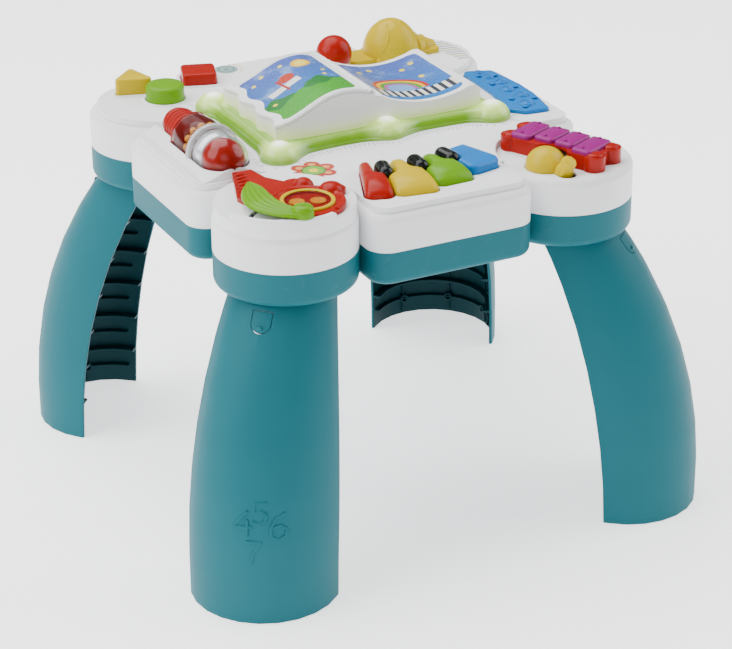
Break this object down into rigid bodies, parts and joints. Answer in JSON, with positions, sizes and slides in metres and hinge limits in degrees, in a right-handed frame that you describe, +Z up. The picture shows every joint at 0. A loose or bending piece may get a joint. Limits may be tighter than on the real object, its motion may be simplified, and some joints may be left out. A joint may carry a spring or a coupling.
{
  "type": "musical activity table",
  "caption": "Low four-legged play table with a lobed deck that carries a flip page book, keys, roller, strummer, chimes, buttons and a slider.",
  "frame": {"origin": "centre of the four feet on the floor", "axes": "+Z up, -Y to the front where the keyboard is, +X to the right"},
  "size_m": [0.5518, 0.5638, 0.4183],
  "materials": {
    "teal_plastic": "satin moulded",
    "white_plastic": "satin moulded",
    "red_plastic": "glossy",
    "yellow_plastic": "glossy",
    "green_plastic": "glossy",
    "blue_plastic": "glossy",
    "purple_plastic": "glossy",
    "orange_plastic": "glossy",
    "black_plastic": "high gloss",
    "clear_plastic": "clear",
    "lamp_green": "translucent, lit from inside",
    "lamp_lens": "frosted, lit from inside",
    "page_print": "printed film",
    "reflector": "glossy",
    "steel": "plated",
    "cell_wrap": "printed sleeve",
    "circuit_board": "solder mask",
    "switch_rubber": "matt",
    "dark_plastic": "matt"
  },
  "bodies": {
    "deck": {"top_shell": "white_plastic", "base_shell": "teal_plastic", "battery_door": "teal_plastic", "battery_door_screw": "steel", "batteries": "cell_wrap", "battery_contacts": "steel", "speaker": "dark_plastic", "main_board": "circuit_board", "circuit_boards": "circuit_board", "board_screws": "steel", "leds": "lamp_lens", "shell_screws": "steel", "switch_pads": "switch_rubber", "book_base": "white_plastic", "page_print": "page_print", "page_hinge_pin": "steel", "light_frame": "lamp_green", "light_lenses": "lamp_lens", "roller_yoke": "red_plastic", "strum_plate": "red_plastic", "strum_ring": "yellow_plastic", "strum_window": "clear_plastic", "strum_discs": "orange_plastic", "strum_screw": "steel", "key_pins": "steel", "chime_frame": "red_plastic", "chime_bars": "purple_plastic", "horn": "yellow_plastic"},
    "page": {"page_leaf": "white_plastic", "leaf_print": "page_print"},
    "roller": {"roller_shell_front": "clear_plastic", "roller_shell_rear": "clear_plastic", "roller_ball": "red_plastic", "roller_reflector": "reflector", "roller_beads": "yellow_plastic", "roller_axle": "steel", "roller_cap": "red_plastic"},
    "strummer": {"strum_lever": "green_plastic"},
    "red_key": {"piano_key_red": "red_plastic"},
    "yellow_key": {"piano_key_yellow": "yellow_plastic"},
    "green_key": {"piano_key_green": "green_plastic"},
    "blue_key": {"piano_key_blue": "blue_plastic"},
    "black_key_a": {"black_key_1": "black_plastic"},
    "black_key_b": {"black_key_2": "black_plastic"},
    "black_key_c": {"black_key_3": "black_plastic"},
    "mallet": {"mallet_button": "yellow_plastic"},
    "triangle": {"triangle_button": "yellow_plastic"},
    "disc": {"circle_button": "green_plastic"},
    "square": {"square_button": "red_plastic"},
    "panel": {"relief_panel": "blue_plastic"},
    "slider": {"slide_ball": "red_plastic"},
    "switch": {"power_switch": "dark_plastic"},
    "leg_front_left_body": {"leg_front_left": "teal_plastic"},
    "tab_front_left_body": {"tab_front_left": "teal_plastic"},
    "leg_front_right_body": {"leg_front_right": "teal_plastic"},
    "tab_front_right_body": {"tab_front_right": "teal_plastic"},
    "leg_back_left_body": {"leg_back_left": "teal_plastic"},
    "tab_back_left_body": {"tab_back_left": "teal_plastic"},
    "leg_back_right_body": {"leg_back_right": "teal_plastic"},
    "tab_back_right_body": {"tab_back_right": "teal_plastic"}
  },
  "joints": [
    {"name": "page_turn", "type": "hinge", "parent": "deck", "child": "page", "pos_m": [0.003, 0, 0.411], "axis": [0, 1, 0], "range_deg": [0, 178]},
    {"name": "roller_spin", "type": "hinge", "parent": "deck", "child": "roller", "pos_m": [-0.165, 0, 0.377], "axis": [0, 1, 0], "continuous": true},
    {"name": "strum_swing", "type": "hinge", "parent": "deck", "child": "strummer", "pos_m": [-0.1575, -0.2115, 0.371], "axis": [0, 0, 1], "range_deg": [-25, 5]},
    {"name": "red_key_press", "type": "hinge", "parent": "deck", "child": "red_key", "pos_m": [-0.04904, -0.12367, 0.358], "axis": [0.9461, -0.3239, 0], "range_deg": [0, 2.5], "stiffness_Nm_per_rad": 1.2, "springref_deg": -3.44},
    {"name": "yellow_key_press", "type": "hinge", "parent": "deck", "child": "yellow_key", "pos_m": [-0.01887, -0.13105, 0.358], "axis": [0.9888, -0.1495, 0], "range_deg": [0, 2.5], "stiffness_Nm_per_rad": 1.2, "springref_deg": -3.44},
    {"name": "green_key_press", "type": "hinge", "parent": "deck", "child": "green_key", "pos_m": [0.01455, -0.13284, 0.358], "axis": [0.999, 0.0436, 0], "range_deg": [0, 2.5], "stiffness_Nm_per_rad": 1.2, "springref_deg": -3.44},
    {"name": "blue_key_press", "type": "hinge", "parent": "deck", "child": "blue_key", "pos_m": [0.04665, -0.12839, 0.358], "axis": [0.9734, 0.2292, 0], "range_deg": [0, 2.5], "stiffness_Nm_per_rad": 1.2, "springref_deg": -3.44},
    {"name": "black_key_a_press", "type": "slide", "parent": "deck", "child": "black_key_a", "axis": [0, 0, 1], "range_m": [-0.0025, 0], "stiffness_N_per_m": 300, "springref_m": 0.002},
    {"name": "black_key_b_press", "type": "slide", "parent": "deck", "child": "black_key_b", "axis": [0, 0, 1], "range_m": [-0.0025, 0], "stiffness_N_per_m": 300, "springref_m": 0.002},
    {"name": "black_key_c_press", "type": "slide", "parent": "deck", "child": "black_key_c", "axis": [0, 0, 1], "range_m": [-0.0025, 0], "stiffness_N_per_m": 300, "springref_m": 0.002},
    {"name": "mallet_press", "type": "slide", "parent": "deck", "child": "mallet", "axis": [0, 0, 1], "range_m": [-0.003, 0], "stiffness_N_per_m": 350, "springref_m": 0.002},
    {"name": "triangle_press", "type": "slide", "parent": "deck", "child": "triangle", "axis": [0, 0, 1], "range_m": [-0.0035, 0], "stiffness_N_per_m": 300, "springref_m": 0.002},
    {"name": "disc_press", "type": "slide", "parent": "deck", "child": "disc", "axis": [0, 0, 1], "range_m": [-0.0035, 0], "stiffness_N_per_m": 300, "springref_m": 0.0025},
    {"name": "square_press", "type": "slide", "parent": "deck", "child": "square", "axis": [0, 0, 1], "range_m": [-0.0035, 0], "stiffness_N_per_m": 300, "springref_m": 0.0025},
    {"name": "panel_press", "type": "slide", "parent": "deck", "child": "panel", "axis": [0, 0, 1], "range_m": [-0.0025, 0], "stiffness_N_per_m": 450, "springref_m": 0.003},
    {"name": "ball_slide", "type": "slide", "parent": "deck", "child": "slider", "axis": [1, 0, 0], "range_m": [-0.033, 0.008]},
    {"name": "switch_slide", "type": "slide", "parent": "deck", "child": "switch", "axis": [1, 0, 0], "range_m": [0, 0.004]},
    {"name": "leg_front_left_pull", "type": "slide", "parent": "deck", "child": "leg_front_left_body", "axis": [0, 0, 1], "range_m": [-0.08, 0]},
    {"name": "tab_front_left_press", "type": "hinge", "parent": "leg_front_left_body", "child": "tab_front_left_body", "pos_m": [-0.19374, -0.19974, 0.285], "axis": [0.7071, -0.7071, 0], "range_deg": [0, 6], "stiffness_Nm_per_rad": 0.2, "springref_deg": -1.72},
    {"name": "leg_front_right_pull", "type": "slide", "parent": "deck", "child": "leg_front_right_body", "axis": [0, 0, 1], "range_m": [-0.08, 0]},
    {"name": "tab_front_right_press", "type": "hinge", "parent": "leg_front_right_body", "child": "tab_front_right_body", "pos_m": [0.19374, -0.19974, 0.285], "axis": [0.7071, 0.7071, 0], "range_deg": [0, 6], "stiffness_Nm_per_rad": 0.2, "springref_deg": -1.72},
    {"name": "leg_back_left_pull", "type": "slide", "parent": "deck", "child": "leg_back_left_body", "axis": [0, 0, 1], "range_m": [-0.08, 0]},
    {"name": "tab_back_left_press", "type": "hinge", "parent": "leg_back_left_body", "child": "tab_back_left_body", "pos_m": [-0.19374, 0.19974, 0.285], "axis": [-0.7071, -0.7071, 0], "range_deg": [0, 6], "stiffness_Nm_per_rad": 0.2, "springref_deg": -1.72},
    {"name": "leg_back_right_pull", "type": "slide", "parent": "deck", "child": "leg_back_right_body", "axis": [0, 0, 1], "range_m": [-0.08, 0]},
    {"name": "tab_back_right_press", "type": "hinge", "parent": "leg_back_right_body", "child": "tab_back_right_body", "pos_m": [0.19374, 0.19974, 0.285], "axis": [-0.7071, 0.7071, 0], "range_deg": [0, 6], "stiffness_Nm_per_rad": 0.2, "springref_deg": -1.72}
  ]
}
